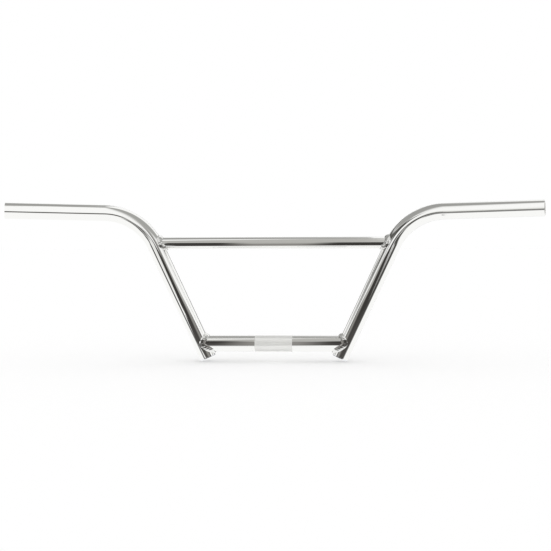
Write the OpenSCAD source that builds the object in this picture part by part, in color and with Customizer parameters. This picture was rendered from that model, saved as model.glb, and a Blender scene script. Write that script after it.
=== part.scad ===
// Welded four-piece handlebar for a small-wheeled bicycle, all steel, chrome plated.
// Two bent uprights, a lower bar with a knurled clamp and a thinner crossbar, joined by four fillet welds.
// Frame: origin at the middle of the clamp, +X to the rider's right, +Y forward, +Z up.

/* [Bent uprights] */
// Outside diameter of the uprights and of the lower bar
tube_d = 22.2; // [19:0.1:25.4]
// Wall of the uprights
upright_wall = 1.5; // [1:0.1:2.4]
// Distance between the two legs, axis to axis, at the lower bar
foot_span = 202; // [170:1:230]
// Lean of each leg, outwards from upright
leg_lean = 25; // [16:0.5:30]
// Reach of each leg past the lower bar's axis, with its cap
leg_tail = 22.5; // [19:0.5:40]
// Radius of the bend, on the tube's axis
bend_r = 80; // [60:1:95]

/* [Grips] */
// Overall width, from bar end to bar end, on the tube's axis
bar_width = 736; // [680:1:780]
// Height of the bar ends above the lower bar, axis to axis
rise = 186; // [182:1:215]
// Sweep of the grips back to the rider
back_sweep = 11; // [0:0.5:14]
// Sweep of the grips upwards
up_sweep = 1.5; // [0:0.5:4]
// Chamfer round the rim of each bar end
bar_end_chamfer = 0.4; // [0.1:0.1:0.6]

/* [Crossbar] */
// Outside diameter of the crossbar
crossbar_d = 15.9; // [12.7:0.1:19]
// Wall of the crossbar
crossbar_wall = 1.2; // [0.8:0.1:2]
// Height of the crossbar above the lower bar, axis to axis
crossbar_h = 140; // [100:1:142]

/* [Lower bar and clamp] */
// Wall of the lower bar
lower_wall = 2; // [1.4:0.1:3]
// Length of the knurled clamp
knurl_len = 52; // [40:1:70]
// Diameter over the ridges of the knurl
knurl_d = 22.6; // [22.4:0.1:24]
// Number of ridges
knurl_ridges = 60; // [40:1:72]
// Part of each ridge's pitch that its flat top takes
knurl_land = 0.42; // [0.3:0.02:0.6]
// Depth of the grooves
knurl_depth = 0.45; // [0.2:0.05:0.6]

/* [Welds] */
// Throat of the fillet welds, from the root to the line between the toes
weld_throat = 2.2; // [1.6:0.1:2.6]
// Longest leg of a fillet, where the two tubes meet at a shallow angle
weld_leg_max = 4.2; // [3:0.1:5]
// Height of the bead's crown above the line between its toes
weld_crown = 1; // [0.4:0.1:1.6]
// Spacing of the ripples in the bead
weld_pitch = 3; // [2:0.1:5]
// Depth of the ripples
weld_ripple = 0.35; // [0.1:0.05:0.6]
// Clearance between a bead's faces and the tubes under them
weld_clearance = 0.05; // [0.05:0.01:0.1]

/* [Leg caps] */
// Thickness of the disc that closes a leg
cap_t = 2.5; // [1.5:0.1:5]
// Radius round the disc's outer edge
cap_round = 1; // [0.3:0.1:1.4]
// Length of the spigot inside the leg
spigot_len = 4; // [2:0.5:8]
// Clearance round the spigot
spigot_clearance = 0.1; // [0.05:0.05:0.4]

/* [Vents] */
// Diameter of the plating vents in the uprights, inside the ends of the cross tubes
vent_d = 5; // [3:0.5:6]
// Distance of each vent's rim from the bottom of the cross tube's bore
vent_rim = 0.3; // [0.1:0.1:0.6]

/* [Hidden] */
$fn = 96;

tube_r = tube_d / 2;
crossbar_r = crossbar_d / 2;
knurl_r = knurl_d / 2;
upright_bore_r = tube_r - upright_wall;

// The leg's direction, going up, and the grip's, going out, both on the +X side.
leg_dir = [sin(leg_lean), 0, cos(leg_lean)];
grip_dir = [
    cos(back_sweep) * cos(up_sweep),
    -sin(back_sweep) * cos(up_sweep),
    sin(up_sweep)
];
foot = [foot_span / 2, 0, 0];

// The leg's axis and the grip's meet at a corner that the bend rounds off.
corner_to_end = (bar_width / 2 - foot.x - rise * tan(leg_lean)) / (grip_dir.x - grip_dir.z * tan(leg_lean));
corner_z = rise - corner_to_end * grip_dir.z;
foot_to_corner = corner_z / cos(leg_lean);

// The bend lies in the plane of the two directions.
turn = acos(leg_dir * grip_dir);
bend_normal = cross(leg_dir, grip_dir) / sin(turn);
bend_side = cross(bend_normal, leg_dir);
tangent_len = bend_r * tan(turn / 2);
grip_len = corner_to_end - tangent_len;
leg_len = foot_to_corner - tangent_len;
bend_start = foot + leg_len * leg_dir;

// A bead is a closed loop of rings, a few to each ripple, and each ring is one section of the fillet.
rings_per_ripple = 4;
crown_points = 3;
path_steps = 72;
// The bead rounds the sharp valley where two tubes of one size meet at the side by this much.
valley_round = 2.5;
seat_r = sqrt(tube_r ^ 2 + valley_round ^ 2);
// The tube draws in by this much on the radius where it is bent.
bend_draw = 0.05;
// Angle by which the drawn-in bend runs on inside the straights at both ends.
bend_overrun = 0.6;
// Cuts run on past the faces that they open by this much.
cut_past = 1;
// The fish-mouth ends are blunted by this much, so they have no feather edge.
mitre_blunt = 1;

cap_spigot_r = upright_bore_r - spigot_clearance;

function unit(v) = v / norm(v);

// Distance of the leg's axis from the middle, at a height above the lower bar.
function leg_x(z) = foot.x + z * tan(leg_lean);

// A point in the bend's own plane: along the leg from the bend's start, towards its centre, and off the plane.
function to_bend(p) = let (q = p - bend_start) [q * leg_dir, q * bend_side, q * bend_normal];
function from_bend(q) = bend_start + q.x * leg_dir + q.y * bend_side + q.z * bend_normal;

// The nearest point of the upright's axis, on the leg or on the bend.
function axis_point(p) = let (q = to_bend(p))
    q.x <= 0
        ? from_bend([q.x, 0, 0])
        : from_bend([0, bend_r, 0] + bend_r * unit([q.x, q.y - bend_r, 0]));

function on_upright(p) = let (a = axis_point(p)) a + (tube_r + weld_clearance) * unit(p - a);

// Where a line along X first comes within seat_r of the upright's axis, by halving the interval.
function seat_x(y, z, lo, hi, n = 20) = let (mid = (lo + hi) / 2, p = [mid, y, z])
    n == 0 ? mid
    : norm(p - axis_point(p)) > seat_r ? seat_x(y, z, mid, hi, n - 1)
    : seat_x(y, z, lo, mid, n - 1);

// A point on the root of the bead, at an angle round a cross tube.
function root_point(r, z, a) = let (c = r + weld_clearance, y = c * cos(a), h = z + c * sin(a))
    [seat_x(y, h, leg_x(h) - 3 * tube_d, leg_x(h)), y, h];

// Running length along the root, so that the rings can be set at even steps.
function lengths(pts, i = 0, so_far = 0, out = []) =
    i == len(pts) ? out
    : lengths(pts, i + 1, so_far + (i + 1 < len(pts) ? norm(pts[i + 1] - pts[i]) : 0), concat(out, [so_far]));

// One section of the bead: root, the foot on the cross tube, the crown, and the foot on the upright.
function bead_ring(r, z, a, da, swell) =
    let (
        q = root_point(r, z, a),
        along = unit(root_point(r, z, a + da) - root_point(r, z, a - da)),
        out_cross = [0, cos(a), sin(a)],
        out_upright = unit(q - axis_point(q)),
        // Unit steps away from the other tube, along each tube's surface
        off_cross = cross(out_upright, along),
        off_upright = cross(along, out_cross),
        leg = min(weld_leg_max, 2 * weld_throat / norm(off_cross + off_upright)),
        stretch = leg / norm([along.y, along.z]),
        toe_cross = q - [stretch, 0, 0],
        toe_upright = on_upright(q + leg * off_cross),
        out_crown = unit(out_cross + out_upright),
        crown = weld_crown - weld_ripple * (1 - swell)
    )
    concat(
        [q, q - [stretch / 2, 0, 0], toe_cross],
        [
            for (k = [1:crown_points])
                let (t = k / (crown_points + 1))
                toe_cross * (1 - t) + toe_upright * t + 4 * t * (1 - t) * crown * out_crown
        ],
        [toe_upright, on_upright(q + leg / 2 * off_cross)]
    );

module bead(r, z) {
    steps = [for (i = [0:path_steps]) 360 * i / path_steps];
    run = lengths([for (a = steps) root_point(r, z, a)]);
    total = run[path_steps];
    angle_at = [for (i = [0:path_steps]) [run[i], steps[i]]];
    ripples = round(total / weld_pitch);
    n = ripples * rings_per_ripple;
    m = crown_points + 5;
    rings = [
        for (i = [0:n - 1])
            bead_ring(r, z, lookup(total * i / n, angle_at), 180 / n,
                sin(90 * (i % rings_per_ripple) / (rings_per_ripple - 1)))
    ];
    polyhedron(
        points = [for (ring = rings) each ring],
        faces = [
            for (i = [0:n - 1], j = [0:m - 1])
                let (
                    a = i * m + j,
                    b = i * m + (j + 1) % m,
                    c = (i + 1) % n * m + (j + 1) % m,
                    d = (i + 1) % n * m + j
                )
                each [[a, b, c], [a, c, d]]
        ],
        convexity = 6
    );
}

// The bend's plane, with X along the leg and the origin at the bend's start.
module in_bend_plane() {
    multmatrix([
        [leg_dir.x, bend_side.x, bend_normal.x, bend_start.x],
        [leg_dir.y, bend_side.y, bend_normal.y, bend_start.y],
        [leg_dir.z, bend_side.z, bend_normal.z, bend_start.z],
        [0, 0, 0, 1]
    ])
        children();
}

module bend_sweep(r) {
    translate([0, bend_r, 0])
        rotate([0, 0, -90 - bend_overrun])
            rotate_extrude(angle = turn + 2 * bend_overrun)
                translate([bend_r, 0])
                    circle(r - bend_draw);
}

module leg_run(length) {
    translate([-length, 0, 0])
        rotate([0, 90, 0])
            linear_extrude(length)
                children();
}

// The grip stretch, on Z, as a solid of revolution with its bar end at the top.
module grip_run(r, chamfer, length) {
    rotate_extrude()
        polygon([[0, 0], [r, 0], [r, length - chamfer], [r - chamfer, length], [0, length]]);
}

// Leg, bend and grip as one round bar of a radius, in the bend's plane, and past both ends by a length.
module bent_bar(r, chamfer, past) {
    leg_run(leg_len + leg_tail - cap_t + past)
        circle(r);
    bend_sweep(r);
    translate([0, bend_r, 0])
        rotate([0, 0, turn])
            translate([0, -bend_r, 0])
                rotate([0, 90, 0])
                    grip_run(r, chamfer, grip_len + past);
}

// A vent low in a cross tube's bore, so that plating liquid drains out.
module vent(z, bore_r) {
    vent_z = z - bore_r + vent_d / 2 + vent_rim;
    translate([leg_x(vent_z), 0, vent_z])
        rotate([0, -90, 0])
            cylinder(d = vent_d, h = tube_d);
}

module upright() {
    difference() {
        in_bend_plane()
            difference() {
                bent_bar(tube_r, bar_end_chamfer, 0);
                bent_bar(upright_bore_r, 0, cut_past);
            }
        vent(0, tube_r - lower_wall);
        vent(crossbar_h, crossbar_r - crossbar_wall);
    }
}

// The outside of an upright as a solid, which the ends of the cross tubes are mitred to.
module upright_outside() {
    in_bend_plane() {
        leg_run(leg_len + leg_tail)
            circle(tube_r);
        bend_sweep(tube_r);
    }
}

module left_side() {
    mirror([1, 0, 0])
        children();
}

module both_sides() {
    children();
    left_side()
        children();
}

module along_x(from, length) {
    translate([from, 0, 0])
        rotate([0, 90, 0])
            linear_extrude(length)
                children();
}

module crossbar() {
    half = leg_x(crossbar_h);
    color("silver")
        difference() {
            translate([0, 0, crossbar_h])
                along_x(-half, 2 * half)
                    difference() {
                        circle(crossbar_r);
                        circle(crossbar_r - crossbar_wall);
                    }
            both_sides()
                upright_outside();
        }
}

// Straight ridges along the clamp, with flat tops on the clamping diameter.
module knurl_section() {
    pitch = 360 / knurl_ridges;
    groove = pitch * (1 - knurl_land);
    past = 2 * knurl_depth;
    difference() {
        circle(knurl_r);
        for (i = [0:knurl_ridges - 1])
            rotate(i * pitch)
                polygon([
                    [knurl_r - knurl_depth, 0],
                    [(knurl_r + past) * cos(groove), (knurl_r + past) * -sin(groove)],
                    [(knurl_r + past) * cos(groove), (knurl_r + past) * sin(groove)]
                ]);
    }
}

module lower_bar() {
    half = foot.x - mitre_blunt;
    color("silver")
        difference() {
            union() {
                along_x(-half, half - knurl_len / 2)
                    circle(tube_r);
                along_x(-knurl_len / 2, knurl_len)
                    knurl_section();
                along_x(knurl_len / 2, half - knurl_len / 2)
                    circle(tube_r);
            }
            along_x(-half, 2 * half)
                circle(tube_r - lower_wall);
            both_sides()
                upright_outside();
        }
}

module leg_cap() {
    translate(foot - leg_tail * leg_dir)
        rotate([0, leg_lean, 0])
            rotate_extrude()
                union() {
                    difference() {
                        square([tube_r, cap_t]);
                        translate([tube_r - cap_round, 0])
                            square(cap_round);
                    }
                    translate([tube_r - cap_round, cap_round])
                        intersection() {
                            circle(cap_round);
                            translate([0, -cap_round])
                                square(cap_round);
                        }
                    translate([0, cap_t])
                        square([cap_spigot_r, spigot_len]);
                }
}

module right_upright() {
    color("silver")
        upright();
}

module left_upright() {
    left_side()
        right_upright();
}

module right_crossbar_weld() {
    color("gainsboro")
        bead(crossbar_r, crossbar_h);
}

module left_crossbar_weld() {
    left_side()
        right_crossbar_weld();
}

module right_lower_weld() {
    color("gainsboro")
        bead(tube_r, 0);
}

module left_lower_weld() {
    left_side()
        right_lower_weld();
}

module right_leg_cap() {
    color("lightgray")
        leg_cap();
}

module left_leg_cap() {
    left_side()
        right_leg_cap();
}

left_upright();
right_upright();
crossbar();
lower_bar();
left_crossbar_weld();
right_crossbar_weld();
left_lower_weld();
right_lower_weld();
left_leg_cap();
right_leg_cap();
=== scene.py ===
import math

import bmesh
import bpy
from mathutils import Matrix, Vector


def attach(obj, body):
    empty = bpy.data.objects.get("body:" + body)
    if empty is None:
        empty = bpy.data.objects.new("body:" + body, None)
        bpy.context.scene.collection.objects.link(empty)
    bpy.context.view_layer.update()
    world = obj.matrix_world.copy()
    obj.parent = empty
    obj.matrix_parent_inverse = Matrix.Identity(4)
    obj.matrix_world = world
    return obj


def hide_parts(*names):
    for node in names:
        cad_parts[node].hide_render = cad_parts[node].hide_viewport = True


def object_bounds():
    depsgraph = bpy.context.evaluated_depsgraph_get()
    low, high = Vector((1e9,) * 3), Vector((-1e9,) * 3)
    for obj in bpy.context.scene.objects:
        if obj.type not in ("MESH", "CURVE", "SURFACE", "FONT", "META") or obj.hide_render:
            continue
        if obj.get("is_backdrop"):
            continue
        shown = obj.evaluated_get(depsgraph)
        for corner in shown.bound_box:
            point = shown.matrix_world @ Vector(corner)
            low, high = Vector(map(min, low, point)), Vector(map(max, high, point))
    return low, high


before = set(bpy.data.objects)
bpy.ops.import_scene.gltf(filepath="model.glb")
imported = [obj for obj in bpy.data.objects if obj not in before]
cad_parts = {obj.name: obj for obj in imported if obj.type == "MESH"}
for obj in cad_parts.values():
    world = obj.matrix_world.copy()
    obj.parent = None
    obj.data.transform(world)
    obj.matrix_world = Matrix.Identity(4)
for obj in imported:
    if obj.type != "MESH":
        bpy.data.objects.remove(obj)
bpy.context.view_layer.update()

bl_info = {
    "name": "Chrome BMX handlebar",
    "version": (1, 0, 0),
    "blender": (4, 5, 0),
    "location": "View3D > Sidebar > Handlebar",
    "description": "Builds the visible pieces of a chrome four-piece handlebar over its CAD frame",
    "category": "Object",
}

MM = 0.001

TUBE_SIDES = 128                # faces round a visible tube
CUTTER_SIDES = 192              # faces round the upright that cuts the mitres
BEND_STEPS = 96                 # rings along a bend
ON_PLANE = 0.01 * MM            # how far off a plane a point may lie and still count as on it
ON_RIM = 0.05 * MM              # the same, for a rim

PICTURE_WIDTH = 551             # in pixels
PIXEL = 1.3875 * MM             # size of a pixel in the plane of the legs
SENSOR = 36                     # width of the camera's sensor, in millimetres

SIDES = ((-1, "left"), (1, "right"))    # the rider's


class HandlebarSizes(bpy.types.PropertyGroup):
    """Sizes of the bare welded bar, as the CAD source has them."""

    tube_diameter: bpy.props.FloatProperty(
        name="Tube diameter", description="Outside diameter of uprights and lower bar",
        default=22.2 * MM, unit="LENGTH")
    upright_wall: bpy.props.FloatProperty(
        name="Upright wall", description="Wall of the uprights", default=1.5 * MM, unit="LENGTH")
    foot_span: bpy.props.FloatProperty(
        name="Foot span", description="Distance between the legs at the lower bar, axis to axis",
        default=202 * MM, unit="LENGTH")
    leg_lean: bpy.props.FloatProperty(
        name="Leg lean", description="Lean of each leg, outwards from upright",
        default=math.radians(25), unit="ROTATION")
    leg_tail: bpy.props.FloatProperty(
        name="Leg tail", description="Reach of each leg past the lower bar's axis, with its cap",
        default=22.5 * MM, unit="LENGTH")
    bend_radius: bpy.props.FloatProperty(
        name="Bend radius", description="Radius of the bend, on the tube's axis",
        default=80 * MM, unit="LENGTH")
    bar_width: bpy.props.FloatProperty(
        name="Bar width", description="Overall width on the tube's axis",
        default=736 * MM, unit="LENGTH")
    rise: bpy.props.FloatProperty(
        name="Rise", description="Height of the bar ends above the lower bar",
        default=186 * MM, unit="LENGTH")
    back_sweep: bpy.props.FloatProperty(
        name="Back sweep", description="Sweep of the grips back to the rider",
        default=math.radians(11), unit="ROTATION")
    up_sweep: bpy.props.FloatProperty(
        name="Up sweep", description="Sweep of the grips upwards",
        default=math.radians(1.5), unit="ROTATION")
    crossbar_diameter: bpy.props.FloatProperty(
        name="Crossbar diameter", description="Outside diameter of the crossbar",
        default=15.9 * MM, unit="LENGTH")
    crossbar_wall: bpy.props.FloatProperty(
        name="Crossbar wall", description="Wall of the crossbar", default=1.2 * MM, unit="LENGTH")
    crossbar_height: bpy.props.FloatProperty(
        name="Crossbar height", description="Height of the crossbar above the lower bar",
        default=140 * MM, unit="LENGTH")
    lower_wall: bpy.props.FloatProperty(
        name="Lower bar wall", description="Wall of the lower bar", default=2 * MM, unit="LENGTH")
    rim_radius: bpy.props.FloatProperty(
        name="Rim radius", description="Rounding of the cut rim at each bar end",
        default=0.35 * MM, unit="LENGTH")
    cap_thickness: bpy.props.FloatProperty(
        name="Cap thickness", description="Thickness of the disc that closes a leg",
        default=2.5 * MM, unit="LENGTH")
    cap_rounding: bpy.props.FloatProperty(
        name="Cap rounding", description="Radius round the disc's outer edge",
        default=1 * MM, unit="LENGTH")
    spigot: bpy.props.FloatProperty(
        name="Spigot", description="Reach of the disc's spigot into the leg", default=4 * MM, unit="LENGTH")
    spigot_play: bpy.props.FloatProperty(
        name="Spigot play", description="Gap round the spigot", default=0.1 * MM, unit="LENGTH")


class KnurlSizes(bpy.types.PropertyGroup):
    """Sizes of the straight knurl on the clamp."""

    length: bpy.props.FloatProperty(
        name="Knurl length", description="Length of the knurled clamp", default=52 * MM, unit="LENGTH")
    diameter: bpy.props.FloatProperty(
        name="Knurl diameter", description="Diameter over the ridges", default=22.6 * MM, unit="LENGTH")
    ridges: bpy.props.IntProperty(
        name="Ridges", description="Number of ridges round the clamp", default=60)
    land: bpy.props.FloatProperty(
        name="Land", description="Part of the pitch that each ridge's flat top takes",
        default=0.42, subtype="FACTOR")
    depth: bpy.props.FloatProperty(
        name="Groove depth", description="Depth of the grooves", default=0.45 * MM, unit="LENGTH")
    run_out: bpy.props.FloatProperty(
        name="Run-out", description="Length over which the ridges rise at each end",
        default=0.5 * MM, unit="LENGTH")


class WeldSizes(bpy.types.PropertyGroup):
    """Sizes of the fillet welds."""

    throat: bpy.props.FloatProperty(
        name="Throat", description="From the root to the line between the toes",
        default=2.2 * MM, unit="LENGTH")
    longest_leg: bpy.props.FloatProperty(
        name="Longest leg", description="Longest leg of a fillet at a shallow angle",
        default=4.2 * MM, unit="LENGTH")
    crown: bpy.props.FloatProperty(
        name="Crown", description="Height of the bead above the line between its toes",
        default=1 * MM, unit="LENGTH")
    ripple_pitch: bpy.props.FloatProperty(
        name="Ripple pitch", description="Spacing of the ripples", default=3 * MM, unit="LENGTH")
    ripple_depth: bpy.props.FloatProperty(
        name="Ripple depth", description="Depth of the ripples", default=0.22 * MM, unit="LENGTH")
    clearance: bpy.props.FloatProperty(
        name="Clearance", description="Gap between the bead's faces and the tubes",
        default=0.05 * MM, unit="LENGTH")
    valley_rounding: bpy.props.FloatProperty(
        name="Valley rounding", description="How far the bead rounds the valley between two tubes",
        default=2.5 * MM, unit="LENGTH")


class FinishColours(bpy.types.PropertyGroup):
    """Colours of the plating, as sRGB hex values."""

    bright: bpy.props.StringProperty(
        name="Bright chrome", description="Chrome on the polished tubes", default="F8F8F6")
    knurl: bpy.props.StringProperty(
        name="Knurl", description="Chrome on the torn faces of the knurl", default="FBFBF9")
    weld: bpy.props.StringProperty(
        name="Weld", description="Chrome over the beads, which aren't polished", default="F2F2F0")
    disc: bpy.props.StringProperty(
        name="Disc", description="Chrome on the ground discs at the legs' ends", default="F2F3F4")
    bore: bpy.props.StringProperty(
        name="Bore", description="Dull nickel inside the bar ends", default="DEDDD9")


class StudioSetup(bpy.types.PropertyGroup):
    """Camera and white studio."""

    distance: bpy.props.FloatProperty(
        name="Distance", description="From the camera to the point it looks at",
        default=1915 * MM, unit="LENGTH")
    azimuth: bpy.props.FloatProperty(
        name="Azimuth", description="Turn of the camera round the bar, to the rider's right",
        default=math.radians(4), unit="ROTATION")
    elevation: bpy.props.FloatProperty(
        name="Elevation", description="Height of the camera above the horizon",
        default=math.radians(2), unit="ROTATION")
    roll: bpy.props.FloatProperty(
        name="Roll", description="Turn of the camera about its own line of sight",
        default=math.radians(-0.27), unit="ROTATION")
    aim: bpy.props.FloatVectorProperty(
        name="Aim", description="Point that the camera looks at",
        default=(2.8 * MM, 0, 94.65 * MM), subtype="TRANSLATION", unit="LENGTH")
    scale: bpy.props.FloatProperty(
        name="Picture width", description="Width of the picture at the point looked at",
        default=PICTURE_WIDTH * PIXEL, unit="LENGTH")
    floor_size: bpy.props.FloatProperty(
        name="Floor size", description="Side of the square floor", default=20, unit="LENGTH")
    white: bpy.props.StringProperty(
        name="White", description="Floor and tent, as an sRGB hex value", default="FFFFFF")
    card_gap: bpy.props.FloatProperty(
        name="Card gap", description="From the bar to the middle of the leaning card",
        default=156.3 * MM, unit="LENGTH")
    card_height: bpy.props.FloatProperty(
        name="Card height", description="Height of the middle of the leaning card",
        default=75 * MM, unit="LENGTH")
    card_lean: bpy.props.FloatProperty(
        name="Card lean", description="How far the card leans away from the bar",
        default=math.atan(0.536), unit="ROTATION")
    card_size: bpy.props.FloatProperty(
        name="Card size", description="Side of the square card", default=460 * MM, unit="LENGTH")


def deselect():
    """Leaves edit mode and selects nothing."""
    if bpy.context.mode != "OBJECT":
        bpy.ops.object.mode_set(mode="OBJECT")
    bpy.ops.object.select_all(action="DESELECT")


def only(piece):
    """Makes a piece the only selected and the active one."""
    deselect()
    piece.select_set(True)
    bpy.context.view_layer.objects.active = piece


def place(piece):
    """Moves a piece's place from its object into its mesh."""
    only(piece)
    bpy.ops.object.transform_apply(location=True, rotation=True, scale=True)


def modifier(piece, kind, **settings):
    """Adds a modifier, and applies it."""
    only(piece)
    made = piece.modifiers.new(kind.title(), kind)
    for key, value in settings.items():
        setattr(made, key, value)
    bpy.ops.object.modifier_apply(modifier=made.name)


def smooth(piece, degrees=30):
    """Shades a piece smooth, but for its edges above an angle."""
    only(piece)
    bpy.ops.object.shade_smooth_by_angle(angle=math.radians(degrees))


def extrude(move=(0, 0, 0)):
    """Extrudes what is selected, by a move."""
    bpy.ops.mesh.extrude_region_move(TRANSFORM_OT_translate={"value": tuple(move)})


def outward(piece):
    """Turns all faces outwards, on a closed mesh or on an open tube."""
    only(piece)
    bpy.ops.object.mode_set(mode="EDIT")
    bpy.ops.mesh.select_all(action="SELECT")
    bpy.ops.mesh.normals_make_consistent(inside=False)
    bpy.ops.object.mode_set(mode="OBJECT")


class Upright:
    """The centre line of one upright: leg, bend and grip. side is 1 on the right and -1 on the left."""

    def __init__(self, sizes, side):
        self.side = side
        self.lean, sweep, up = sizes.leg_lean, sizes.back_sweep, sizes.up_sweep
        self.r = sizes.tube_diameter / 2
        self.tail = sizes.leg_tail
        self.leg = Vector((side * math.sin(self.lean), 0, math.cos(self.lean)))
        self.grip = Vector((
            side * math.cos(sweep) * math.cos(up), -math.sin(sweep) * math.cos(up), math.sin(up)))
        self.foot = Vector((side * sizes.foot_span / 2, 0, 0))
        # The leg and the grip would meet in a sharp corner, which the bend rounds off.
        slope = math.tan(self.lean)
        reach = sizes.bar_width / 2 - abs(self.foot.x) - sizes.rise * slope
        past_corner = reach / (abs(self.grip.x) - self.grip.z * slope)
        corner_z = sizes.rise - past_corner * self.grip.z
        self.turn = self.leg.angle(self.grip)
        self.normal = self.leg.cross(self.grip).normalized()
        self.bend_r = sizes.bend_radius
        tangent = self.bend_r * math.tan(self.turn / 2)
        self.leg_len = corner_z / math.cos(self.lean) - tangent
        self.grip_len = past_corner - tangent
        self.start = self.foot + self.leg_len * self.leg
        self.centre = self.start + self.bend_r * self.normal.cross(self.leg)
        self.bend_end = self.centre + self.bend_r * self.grip.cross(self.normal)
        self.end = self.bend_end + self.grip_len * self.grip

    def leg_x(self, z):
        """Where the leg's line is, at a height."""
        return self.foot.x + self.side * z * math.tan(self.lean)

    def nearest(self, p):
        """The nearest point of the centre line, on the leg, the bend or the grip."""
        past_bend = (p - self.bend_end).dot(self.grip)
        if past_bend > 0:
            return self.bend_end + past_bend * self.grip
        past_leg = (p - self.start).dot(self.leg)
        if past_leg <= 0:
            return self.start + past_leg * self.leg
        flat = p - self.centre
        flat -= flat.dot(self.normal) * self.normal
        return self.centre + self.bend_r * flat.normalized()


def swept_bar(name, line, down, sides):
    """A round bar with open ends, swept from a ring below the leg's foot to the bar end."""
    deselect()
    turned = line.leg.to_track_quat("Z", "Y")
    bpy.ops.mesh.primitive_circle_add(
        vertices=sides, radius=line.r, location=line.foot - down * line.leg, rotation=turned.to_euler())
    bar = bpy.context.object
    bar.name = bar.data.name = name
    place(bar)
    bpy.ops.object.mode_set(mode="EDIT")
    bpy.ops.mesh.select_all(action="SELECT")
    extrude((line.leg_len + down) * line.leg)
    bpy.ops.mesh.spin(steps=BEND_STEPS, angle=line.turn, center=line.centre, axis=-line.normal)
    extrude(line.grip_len * line.grip)
    bpy.ops.object.mode_set(mode="OBJECT")
    outward(bar)
    return bar


def mitre_cutters(sizes, name):
    """The outsides of both uprights as closed solids, to cut the cross tubes' ends with."""
    cutters = []
    for side, _ in SIDES:
        line = Upright(sizes, side)
        cutter = swept_bar(f"{name}_cutter_{side}", line, line.tail, CUTTER_SIDES)
        only(cutter)
        bpy.ops.object.mode_set(mode="EDIT")
        bpy.ops.mesh.select_all(action="DESELECT")
        bpy.ops.mesh.select_non_manifold()
        bpy.ops.mesh.fill_holes(sides=0)
        bpy.ops.object.mode_set(mode="OBJECT")
        outward(cutter)
        cutters.append(cutter)
    return cutters


def cut_mitres(tube, sizes):
    """Cuts both ends of a cross tube to the uprights."""
    for cutter in mitre_cutters(sizes, tube.name):
        modifier(tube, "BOOLEAN", object=cutter, operation="DIFFERENCE", solver="EXACT")
        bpy.data.objects.remove(cutter)


def hand_over(piece, material, slot, *nodes):
    """Gives a finished piece its material and place in the frame. The slot is not used."""
    piece.data.materials.clear()
    piece.data.materials.append(material)
    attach(piece, "root")
    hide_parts(*nodes)


def linear(code):
    """A linear colour from an sRGB hex value."""
    levels = [int(code[i:i + 2], 16) / 255 for i in (0, 2, 4)]
    return tuple(c / 12.92 if c <= 0.04045 else ((c + 0.055) / 1.055) ** 2.4 for c in levels) + (1,)


def node(tree, kind, links=None, **settings):
    """Adds a node with its settings. links holds its inputs: a value, or another node's output."""
    made = tree.nodes.new(kind)
    for key, value in settings.items():
        setattr(made, key, value)
    for key, value in (links or {}).items():
        if isinstance(value, bpy.types.NodeSocket):
            tree.links.new(value, made.inputs[key])
        else:
            made.inputs[key].default_value = value
    return made


def plating(name, colour, haze, marks_mm, wave, wave_mm, grain, grain_mm, metallic=1.0):
    """Chrome over nickel on steel.

    haze holds the roughness of the clearest and of the dullest marks. wave and grain are the heights, in
    millimetres, of the slow waves and of the fine bumps. The names that end in _mm are their real sizes.
    """
    made = bpy.data.materials.new(name)
    made.use_nodes = True
    tree = made.node_tree
    tree.nodes.clear()
    spot = node(tree, "ShaderNodeTexCoord").outputs["Object"]
    slow, fine, marks = (
        node(tree, "ShaderNodeTexNoise", {"Vector": spot, "Scale": 1 / (size * MM), "Detail": detail})
        for size, detail in ((wave_mm, 1.0), (grain_mm, 3.0), (marks_mm, 4.0)))
    rough = node(tree, "ShaderNodeMapRange", {
        "Value": marks.outputs["Fac"], "From Min": 0.35, "From Max": 0.75,
        "To Min": haze[0], "To Max": haze[1]})
    wavy = node(tree, "ShaderNodeBump", {
        "Height": slow.outputs["Fac"], "Strength": 1.0, "Distance": wave * MM})
    bumpy = node(tree, "ShaderNodeBump", {
        "Height": fine.outputs["Fac"], "Strength": 1.0, "Distance": grain * MM,
        "Normal": wavy.outputs["Normal"]})
    shader = node(tree, "ShaderNodeBsdfPrincipled", {
        "Base Color": linear(colour), "Metallic": metallic,
        "Roughness": rough.outputs["Result"], "Normal": bumpy.outputs["Normal"]})
    node(tree, "ShaderNodeOutputMaterial", {"Surface": shader.outputs["BSDF"]})
    return made


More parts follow.
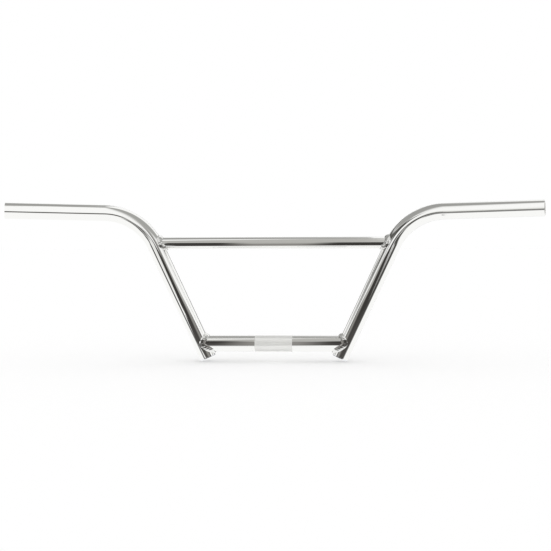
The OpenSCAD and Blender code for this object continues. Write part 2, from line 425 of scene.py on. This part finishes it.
class HANDLEBAR_OT_uprights(bpy.types.Operator):
    """Bent uprights: one tube each, with a rounded rim at the bar end"""

    bl_idname = "handlebar.uprights"
    bl_label = "Uprights"

    def execute(self, context):
        sizes, colours = context.scene.handlebar_sizes, context.scene.handlebar_colours
        # A clear mirror. Faint wipe marks soften it in places, and a slow wave from the bending and the
        # polishing makes long reflections swim a little.
        bright = plating(
            "Bright chrome on bent tube", colours.bright, haze=(0.03, 0.08), marks_mm=7,
            wave=0.004, wave_mm=14, grain=0.0004, grain_mm=1.2)
        # The bath hardly reaches inside, so the bore is pale and dull, without an image.
        dull = plating(
            "Dull nickel in bar end", colours.bore, haze=(0.45, 0.7), marks_mm=3,
            wave=0.01, wave_mm=4, grain=0.004, grain_mm=0.6, metallic=0.4)
        for side, word in SIDES:
            line = Upright(sizes, side)
            tube = swept_bar(f"{word}_upright_tube", line, line.tail - sizes.cap_thickness, TUBE_SIDES)
            modifier(
                tube, "SOLIDIFY", thickness=sizes.upright_wall, offset=-1, use_even_offset=True,
                use_rim=True)
            only(tube)
            bpy.ops.object.mode_set(mode="EDIT")
            bpy.ops.mesh.select_all(action="DESELECT")
            shell = bmesh.from_edit_mesh(tube.data)
            rims = (line.r, line.r - sizes.upright_wall)
            for edge in shell.edges:
                arms = [v.co - line.end for v in edge.verts]
                at_end = all(abs(arm.dot(line.grip)) < ON_PLANE for arm in arms)
                edge.select_set(at_end and any(
                    all(abs(arm.length - rim) < ON_RIM for arm in arms) for rim in rims))
            bmesh.update_edit_mesh(tube.data)
            bpy.ops.mesh.bevel(offset=sizes.rim_radius, segments=4, profile=0.5)
            bpy.ops.object.mode_set(mode="OBJECT")
            smooth(tube)
            hand_over(tube, bright, "upright_tube", f"{word}_upright")
            tube.data.materials.append(dull)
            bore = line.r - 0.8 * sizes.upright_wall    # leaves the rounded rim bright
            for face in tube.data.polygons:
                face.material_index = int((face.center - line.nearest(face.center)).length < bore)
        return {"FINISHED"}


class HANDLEBAR_OT_crossbar(bpy.types.Operator):
    """Crossbar: thinner tube with both ends mitred to the uprights"""

    bl_idname = "handlebar.crossbar"
    bl_label = "Crossbar"

    def execute(self, context):
        sizes = context.scene.handlebar_sizes
        half = Upright(sizes, 1).leg_x(sizes.crossbar_height)
        deselect()
        bpy.ops.mesh.primitive_cylinder_add(
            vertices=TUBE_SIDES, radius=sizes.crossbar_diameter / 2, depth=2 * half,
            end_fill_type="NOTHING", location=(0, 0, sizes.crossbar_height),
            rotation=(0, math.pi / 2, 0))
        tube = context.object
        tube.name = tube.data.name = "crossbar_tube"
        place(tube)
        modifier(tube, "SOLIDIFY", thickness=sizes.crossbar_wall, offset=-1, use_rim=True)
        cut_mitres(tube, sizes)
        smooth(tube)
        # The same mirror as on the uprights, and calmer, because this tube is never bent.
        bright = plating(
            "Bright chrome on crossbar", context.scene.handlebar_colours.bright, haze=(0.03, 0.07),
            marks_mm=7, wave=0.003, wave_mm=18, grain=0.0004, grain_mm=1.2)
        hand_over(tube, bright, "crossbar_tube", "crossbar")
        return {"FINISHED"}


class HANDLEBAR_OT_lower_bar(bpy.types.Operator):
    """Lower bar: tube with the straight-knurled clamp rolled into its middle"""

    bl_idname = "handlebar.lower_bar"
    bl_label = "Lower bar"

    def execute(self, context):
        sizes, knurl = context.scene.handlebar_sizes, context.scene.handlebar_knurl
        colours = context.scene.handlebar_colours
        radius, bore = sizes.tube_diameter / 2, sizes.tube_diameter / 2 - sizes.lower_wall
        half, clamp = sizes.foot_span / 2 - 1 * MM, knurl.length / 2
        shoulder = clamp + 0.2 * MM     # a plain ring beside the knurl keeps its end crisp
        # Every ring has four points to a ridge, given as an angle and a radius: the two sides of the
        # ridge's flat top, then the two sides of the groove's narrow floor.
        pitch = math.tau / knurl.ridges
        even = [k * pitch / 4 for k in range(4 * knurl.ridges)]
        plain = [(a, radius) for a in even]
        hollow = [(a, bore) for a in even]
        top, low = knurl.diameter / 2, knurl.diameter / 2 - knurl.depth
        groove, half_floor = knurl.land + (1 - knurl.land) / 2, 0.02
        ridge = ((0, top), (knurl.land, top), (groove - half_floor, low), (groove + half_floor, low))
        ridged = [((k + part) * pitch, reach) for k in range(knurl.ridges) for part, reach in ridge]
        deselect()
        bpy.ops.mesh.primitive_circle_add(
            vertices=len(even), radius=bore, location=(-half, 0, 0), rotation=(0, math.pi / 2, 0))
        tube = context.object
        tube.name = tube.data.name = "lower_bar_tube"
        place(tube)
        bpy.ops.object.mode_set(mode="EDIT")
        bpy.ops.mesh.select_all(action="SELECT")
        stations = (
            (-half, plain), (-shoulder, plain), (-clamp, plain), (-clamp + knurl.run_out, ridged),
            (clamp - knurl.run_out, ridged), (clamp, plain), (shoulder, plain), (half, plain),
            (half, hollow), (-half, hollow))
        for x, ring in stations:
            extrude()
            shell = bmesh.from_edit_mesh(tube.data)
            picked = sorted(
                (v for v in shell.verts if v.select),
                key=lambda v: (math.atan2(v.co.z, v.co.y) + 1e-4) % math.tau)
            for v, (angle, reach) in zip(picked, ring):
                v.co = Vector((x, reach * math.cos(angle), reach * math.sin(angle)))
            bmesh.update_edit_mesh(tube.data)
        bpy.ops.mesh.select_all(action="SELECT")
        bpy.ops.mesh.remove_doubles(threshold=0.001 * MM)
        bpy.ops.object.mode_set(mode="OBJECT")
        outward(tube)
        cut_mitres(tube, sizes)
        smooth(tube, 15)
        # A calm mirror beside the clamp, as on the crossbar.
        bright = plating(
            "Bright chrome on knurled tube", colours.bright, haze=(0.03, 0.07), marks_mm=7,
            wave=0.003, wave_mm=16, grain=0.0004, grain_mm=1.2)
        hand_over(tube, bright, "lower_tube", "lower_bar")
        # The rolls leave the steel finely torn, so the knurl glows pale with faint streaks and shows no
        # image.
        tube.data.materials.append(plating(
            "Satin chrome on knurl", colours.knurl, haze=(0.12, 0.24), marks_mm=0.9,
            wave=0.01, wave_mm=0.9, grain=0.002, grain_mm=0.3, metallic=0.45))
        for face in tube.data.polygons:
            spot = face.center
            outside = math.hypot(spot.y, spot.z) > (radius + bore) / 2
            face.material_index = int(abs(spot.x) < clamp and outside)
        return {"FINISHED"}


class HANDLEBAR_OT_welds(bpy.types.Operator):
    """Weld beads: rippled fillets round both ends of the crossbar and of the lower bar"""

    bl_idname = "handlebar.welds"
    bl_label = "Welds"

    def execute(self, context):
        sizes, weld = context.scene.handlebar_sizes, context.scene.handlebar_weld
        # The bead isn't polished before plating: it glitters softly on each ripple, in small broken lights.
        over_bead = plating(
            "Chrome over weld bead", context.scene.handlebar_colours.weld, haze=(0.12, 0.26),
            marks_mm=7, wave=0.01, wave_mm=2.2, grain=0.002, grain_mm=0.5)
        for side, word in SIDES:
            line = Upright(sizes, side)
            for place_word, radius, height in (
                    ("crossbar", sizes.crossbar_diameter / 2, sizes.crossbar_height),
                    ("lower", sizes.tube_diameter / 2, 0.0)):
                bead = weld_bead(f"{word}_{place_word}_bead", line, weld, radius, height)
                hand_over(bead, over_bead, "weld_bead", f"{word}_{place_word}_weld")
        return {"FINISHED"}


def weld_bead(name, line, weld, radius, height):
    """A bead along the saddle where a cross tube meets the upright.

    It is a closed loop of fillet sections, set point by point because no modelling operator follows a
    saddle.
    """
    samples, halvings = 180, 30             # of the saddle, and of the search for each of its points
    per_ripple, crown_points = 8, 7         # sections to a ripple, and points across a section's face
    seat = math.hypot(line.r, weld.valley_rounding)
    side, clear = line.side, weld.clearance

    def root(angle):
        """The bead's root at an angle round the cross tube, found by halving."""
        reach = radius + clear
        y, z = reach * math.cos(angle), height + reach * math.sin(angle)
        far, near = line.leg_x(z) - side * 6 * line.r, line.leg_x(z)
        for _ in range(halvings):
            middle = (far + near) / 2
            p = Vector((middle, y, z))
            if (p - line.nearest(p)).length > seat:
                far = middle
            else:
                near = middle
        return Vector((middle, y, z))

    def on_upright(p):
        """The point of the upright's surface that is nearest to p."""
        a = line.nearest(p)
        return a + (line.r + clear) * (p - a).normalized()

    turns = [math.tau * k / samples for k in range(samples + 1)]
    points = [root(a) for a in turns]
    runs = [0.0]
    for p, q in zip(points, points[1:]):
        runs.append(runs[-1] + (q - p).length)
    count = round(runs[-1] / weld.ripple_pitch) * per_ripple
    verts, rings = [], []
    for k in range(count):
        # Sections stand at even steps along the saddle, not at even angles.
        wanted = runs[-1] * k / count
        i = max(j for j, run in enumerate(runs) if run <= wanted)
        i = min(i, samples - 1)
        angle = turns[i] + (turns[i + 1] - turns[i]) * (wanted - runs[i]) / (runs[i + 1] - runs[i])
        q = root(angle)
        along = side * (root(angle + math.pi / count) - root(angle - math.pi / count)).normalized()
        out_cross = Vector((0, math.cos(angle), math.sin(angle)))
        out_upright = (q - line.nearest(q)).normalized()
        off_cross, off_upright = out_upright.cross(along), along.cross(out_cross)
        leg = min(weld.longest_leg, 2 * weld.throat / (off_cross + off_upright).length)
        stretch = side * leg / math.hypot(along.y, along.z)
        toe_cross = q - Vector((stretch, 0, 0))
        toe_upright = on_upright(q + leg * off_cross)
        out_crown = (out_cross + out_upright).normalized()
        phase = (k % per_ripple) / (per_ripple - 1)
        crown = weld.crown - weld.ripple_depth * (1 - math.sin(math.pi / 2 * phase))
        ring = [q, q - Vector((stretch / 2, 0, 0)), toe_cross]
        for c in range(1, crown_points + 1):
            t = c / (crown_points + 1)
            ring.append(toe_cross * (1 - t) + toe_upright * t + 4 * t * (1 - t) * crown * out_crown)
        ring += [toe_upright, on_upright(q + leg / 2 * off_cross)]
        rings.append(range(len(verts), len(verts) + len(ring)))
        verts += ring
    size = len(rings[0])
    faces = [
        (a[j], a[(j + 1) % size], b[(j + 1) % size], b[j])
        for a, b in zip(rings, rings[1:] + rings[:1]) for j in range(size)]
    mesh = bpy.data.meshes.new(name)
    mesh.from_pydata(verts, [], faces)
    bead = bpy.data.objects.new(name, mesh)
    bpy.context.scene.collection.objects.link(bead)
    outward(bead)
    smooth(bead, 50)
    return bead


class HANDLEBAR_OT_leg_caps(bpy.types.Operator):
    """Leg caps: discs with a rounded edge that close the lower ends of the legs"""

    bl_idname = "handlebar.leg_caps"
    bl_label = "Leg caps"

    def execute(self, context):
        sizes = context.scene.handlebar_sizes
        # Ground flat and plated: a mirror with a slight haze and a fine grain from the grinding.
        ground = plating(
            "Chrome on ground end disc", context.scene.handlebar_colours.disc, haze=(0.04, 0.12),
            marks_mm=7, wave=0.01, wave_mm=6, grain=0.002, grain_mm=0.7)
        for side, word in SIDES:
            line = Upright(sizes, side)
            tip = line.foot - line.tail * line.leg
            deselect()
            bpy.ops.mesh.primitive_cylinder_add(
                vertices=TUBE_SIDES, radius=line.r, depth=sizes.cap_thickness,
                location=tip + sizes.cap_thickness / 2 * line.leg,
                rotation=line.leg.to_track_quat("Z", "Y").to_euler())
            cap = context.object
            cap.name = cap.data.name = f"{word}_leg_disc"
            place(cap)
            bpy.ops.object.mode_set(mode="EDIT")
            bpy.ops.mesh.select_all(action="DESELECT")
            shell = bmesh.from_edit_mesh(cap.data)
            for edge in shell.edges:
                edge.select_set(all(abs((v.co - tip).dot(line.leg)) < ON_PLANE for v in edge.verts))
            bmesh.update_edit_mesh(cap.data)
            bpy.ops.mesh.bevel(offset=sizes.cap_rounding, segments=6, profile=0.5)
            bpy.ops.mesh.select_all(action="DESELECT")
            shell = bmesh.from_edit_mesh(cap.data)
            for face in shell.faces:
                inside = (face.calc_center_median() - tip).dot(line.leg) > sizes.cap_thickness / 2
                face.select_set(len(face.verts) == TUBE_SIDES and inside)
            bmesh.update_edit_mesh(cap.data)
            bpy.ops.mesh.inset(thickness=sizes.upright_wall + sizes.spigot_play, depth=0)
            extrude(sizes.spigot * line.leg)
            bpy.ops.object.mode_set(mode="OBJECT")
            smooth(cap)
            hand_over(cap, ground, "leg_cap", f"{word}_leg_cap")
        return {"FINISHED"}


def soft_span(tree, value, low, high, edge):
    """1 where a value lies between low and high, with soft edges, and 0 outside."""
    rise, fall = (
        node(tree, "ShaderNodeMapRange", {
            "Value": value, "From Min": at - edge / 2, "From Max": at + edge / 2,
            "To Min": before, "To Max": 1.0 - before}, interpolation_type="SMOOTHSTEP")
        for at, before in ((low, 0.0), (high, 1.0)))
    return node(tree, "ShaderNodeMath", {
        0: rise.outputs["Result"], 1: fall.outputs["Result"]}, operation="MULTIPLY").outputs["Value"]


def soft_patch(tree, across, up, patch):
    """1 inside a patch and 0 outside. patch holds left, right, low, high and the two edge widths."""
    left, right, low, high, edge_across, edge_up = patch
    return node(tree, "ShaderNodeMath", {
        0: soft_span(tree, across, left, right, edge_across),
        1: soft_span(tree, up, low, high, edge_up)}, operation="MULTIPLY").outputs["Value"]


# The studio's sheets as the bar sees them: colour, then degrees from the rider's seat, to the right
# and upwards, and the width of the soft edges. Later rows hang in front of earlier ones.
TENT_SHEETS = (
    ("overhead sheet", "93928F", (-200, 200, 84, 140, 5, 12)),
    ("left roof sheet", "A0A09E", (-184, -36, 35, 140, 30, 9)),
    ("right roof sheet", "A6A6A4", (26, 116, 29, 140, 22, 12)),
    ("left roof hem", "585754", (-163, -39, 21, 34, 5, 6)),
    ("right roof hem", "A1A09D", (22, 39, 8, 31, 8, 7)),
    ("middle roof strip", "B8B7B4", (-14, 2, 5, 140, 5, 5)),
    ("left front gap", "4B4A48", (-60, -40, -22, -12, 8, 6)),
    ("left low gap", "4B4A48", (-47, -28, -28, -17, 8, 6)),
    ("left lowest gap", "4B4A48", (-36, -5, -32, -22, 8, 6)),
    ("right front gap", "4A4947", (14, 54, -24, -11, 8, 6)),
    ("middle low gap", "62615E", (-6, 20, -21, -12, 6, 6)),
    ("middle front gap", "565552", (-23, -3, -20, -4, 4, 6)),
    ("grip gap", "53524F", (4, 19, -18, -5, 4, 5)),
    ("left white strip", "EAEAE8", (-35, -9, -11, 4, 6, 4)),
    ("left curtain", "413F3D", (-43, -27, 15, 27, 5, 4)),
    ("right curtain", "565452", (16, 26, 5, 17, 6, 7)),
    ("right white strip", "E0E0DE", (14, 28, -9, 4, 6, 4)),
    ("left horizon", "5C5B58", (-147, -64, -11, 7, 6, 5)),
    ("right horizon", "5C5B58", (60, 147, -11, 7, 6, 5)),
    ("left back horizon", "5C5B58", (-200, -141, 4, 13, 6, 4)),
    ("right back horizon", "5C5B58", (141, 200, 4, 13, 6, 4)),
    ("left back gap", "5C5B58", (-200, -171, -13, 8, 4, 5)),
    ("right back gap", "5C5B58", (171, 200, -13, 8, 4, 5)),
)

# The dark card that leans away in front of the bar: colour, then millimetres to the right and in
# height, and the width of the soft edges. Its middle is lighter, and its top lighter still.
CARD_PANELS = (
    ("foot", "4A4846", (-182, 190, -33, 14, 8, 10)),
    ("step", "434140", (-162, 190, 8, 34, 8, 8)),
    ("card", "3C3A38", (-178, 172, 28, 160, 8, 16)),
    ("lighter middle", "8E8C89", (-66, 52, -33, 110, 64, 30)),
    ("lighter top", "B4B3B0", (-68, 66, 98, 172, 56, 26)),
)


class HANDLEBAR_OT_studio(bpy.types.Operator):
    """Studio: white floor and tent, the leaning dark card, and the camera"""

    bl_idname = "handlebar.studio"
    bl_label = "Studio"

    def execute(self, context):
        scene, studio = context.scene, context.scene.handlebar_studio
        scene.view_settings.view_transform = "Standard"
        add_floor(studio)
        scene.world = white_tent(studio)
        add_leaning_card(studio)
        scene.camera = add_camera(studio)
        return {"FINISHED"}


def add_floor(studio):
    """White paper floor at the bar's lowest point. Reflections show the tent in its place."""
    paper = bpy.data.materials.new("Matt white paper")
    paper.use_nodes = True
    paper.node_tree.nodes.clear()
    sheet = node(paper.node_tree, "ShaderNodeBsdfDiffuse", {"Color": linear(studio.white)})
    node(paper.node_tree, "ShaderNodeOutputMaterial", {"Surface": sheet.outputs["BSDF"]})
    deselect()
    bpy.ops.mesh.primitive_plane_add(size=studio.floor_size, location=(0, 0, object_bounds()[0].z))
    floor = bpy.context.object
    floor.name = "studio_floor"
    floor.data.materials.append(paper)
    floor.visible_glossy = False
    floor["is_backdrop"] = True


def white_tent(studio):
    """A white light tent all round. Only the metal's reflections see its grey sheets and dark gaps."""
    world = bpy.data.worlds.new("White tent")
    world.use_nodes = True
    tree = world.node_tree
    tree.nodes.clear()
    direction = node(tree, "ShaderNodeTexCoord").outputs["Generated"]
    way = node(tree, "ShaderNodeSeparateXYZ", {"Vector": direction})
    ahead = node(tree, "ShaderNodeMath", {0: way.outputs["Y"], 1: -1.0}, operation="MULTIPLY")
    across = node(
        tree, "ShaderNodeMath", {0: way.outputs["X"], 1: ahead.outputs["Value"]}, operation="ARCTAN2")
    up = node(tree, "ShaderNodeMath", {0: way.outputs["Z"]}, operation="ARCSINE")
    seen = linear(studio.white)
    for _, colour, patch in TENT_SHEETS:
        mask = soft_patch(
            tree, across.outputs["Value"], up.outputs["Value"], [math.radians(a) for a in patch])
        seen = node(tree, "ShaderNodeMix", {
            "Factor": mask, "A": seen, "B": linear(colour)}, data_type="RGBA").outputs["Result"]
    rays = node(tree, "ShaderNodeLightPath")
    shown = node(tree, "ShaderNodeMix", {
        "Factor": rays.outputs["Is Glossy Ray"], "A": linear(studio.white), "B": seen}, data_type="RGBA")
    light = node(tree, "ShaderNodeBackground", {"Color": shown.outputs["Result"], "Strength": 1.0})
    node(tree, "ShaderNodeOutputWorld", {"Surface": light.outputs["Background"]})
    return world


def add_leaning_card(studio):
    """A dark card that leans away in front of the bar. Only the metal's reflections see it."""
    look = bpy.data.materials.new("Dark card with soft edges")
    look.use_nodes = True
    tree = look.node_tree
    tree.nodes.clear()
    place_on = node(tree, "ShaderNodeTexCoord").outputs["Object"]
    spot = node(tree, "ShaderNodeSeparateXYZ", {"Vector": place_on})
    seen = node(tree, "ShaderNodeBsdfTransparent").outputs["BSDF"]
    for _, colour, patch in CARD_PANELS:
        mask = soft_patch(tree, spot.outputs["X"], spot.outputs["Z"], [a * MM for a in patch])
        panel = node(tree, "ShaderNodeEmission", {"Color": linear(colour), "Strength": 1.0})
        seen = node(tree, "ShaderNodeMixShader", {
            0: mask, 1: seen, 2: panel.outputs["Emission"]}).outputs["Shader"]
    node(tree, "ShaderNodeOutputMaterial", {"Surface": seen})
    deselect()
    middle = Vector((0, -studio.card_gap, studio.card_height))
    bpy.ops.mesh.primitive_plane_add(
        size=studio.card_size, location=middle, rotation=(math.pi / 2 + studio.card_lean, 0, 0))
    card = bpy.context.object
    card.name = "leaning_card"
    place(card)
    card.data.materials.append(look)
    card.visible_camera = card.visible_diffuse = card.visible_shadow = False
    card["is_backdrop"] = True


def add_camera(studio):
    """The camera in the photograph's place."""
    back = Vector((
        math.sin(studio.azimuth) * math.cos(studio.elevation),
        -math.cos(studio.azimuth) * math.cos(studio.elevation),
        math.sin(studio.elevation)))
    lens = bpy.data.cameras.new("Camera")
    lens.sensor_width = SENSOR
    lens.lens = SENSOR * studio.distance / studio.scale
    lens.clip_start, lens.clip_end = 0.05, 100
    camera = bpy.data.objects.new("Camera", lens)
    bpy.context.scene.collection.objects.link(camera)
    camera.location = Vector(studio.aim) + studio.distance * back
    camera.rotation_mode = "QUATERNION"
    camera.rotation_quaternion = (
        (-back).to_track_quat("-Z", "Y") @ Matrix.Rotation(studio.roll, 4, "Z").to_quaternion())
    return camera


class HANDLEBAR_PT_pieces(bpy.types.Panel):
    """Lists the pieces of the bar in the sidebar"""

    bl_label = "Handlebar"
    bl_space_type = "VIEW_3D"
    bl_region_type = "UI"
    bl_category = "Handlebar"

    def draw(self, context):
        for name in STEPS:
            self.layout.operator(f"handlebar.{name}")


STEPS = ("uprights", "crossbar", "lower_bar", "welds", "leg_caps", "studio")
CLASSES = (
    HandlebarSizes, KnurlSizes, WeldSizes, FinishColours, StudioSetup, HANDLEBAR_OT_uprights,
    HANDLEBAR_OT_crossbar, HANDLEBAR_OT_lower_bar, HANDLEBAR_OT_welds, HANDLEBAR_OT_leg_caps,
    HANDLEBAR_OT_studio, HANDLEBAR_PT_pieces)
GROUPS = {
    "handlebar_sizes": HandlebarSizes, "handlebar_knurl": KnurlSizes, "handlebar_weld": WeldSizes,
    "handlebar_colours": FinishColours, "handlebar_studio": StudioSetup}


def register():
    for made in CLASSES:
        bpy.utils.register_class(made)
    for name, group in GROUPS.items():
        setattr(bpy.types.Scene, name, bpy.props.PointerProperty(type=group))


def unregister():
    for name in GROUPS:
        delattr(bpy.types.Scene, name)
    for made in reversed(CLASSES):
        bpy.utils.unregister_class(made)


def main():
    register()
    for name in STEPS:
        getattr(bpy.ops.handlebar, name)()


if __name__ == "__main__":
    main()
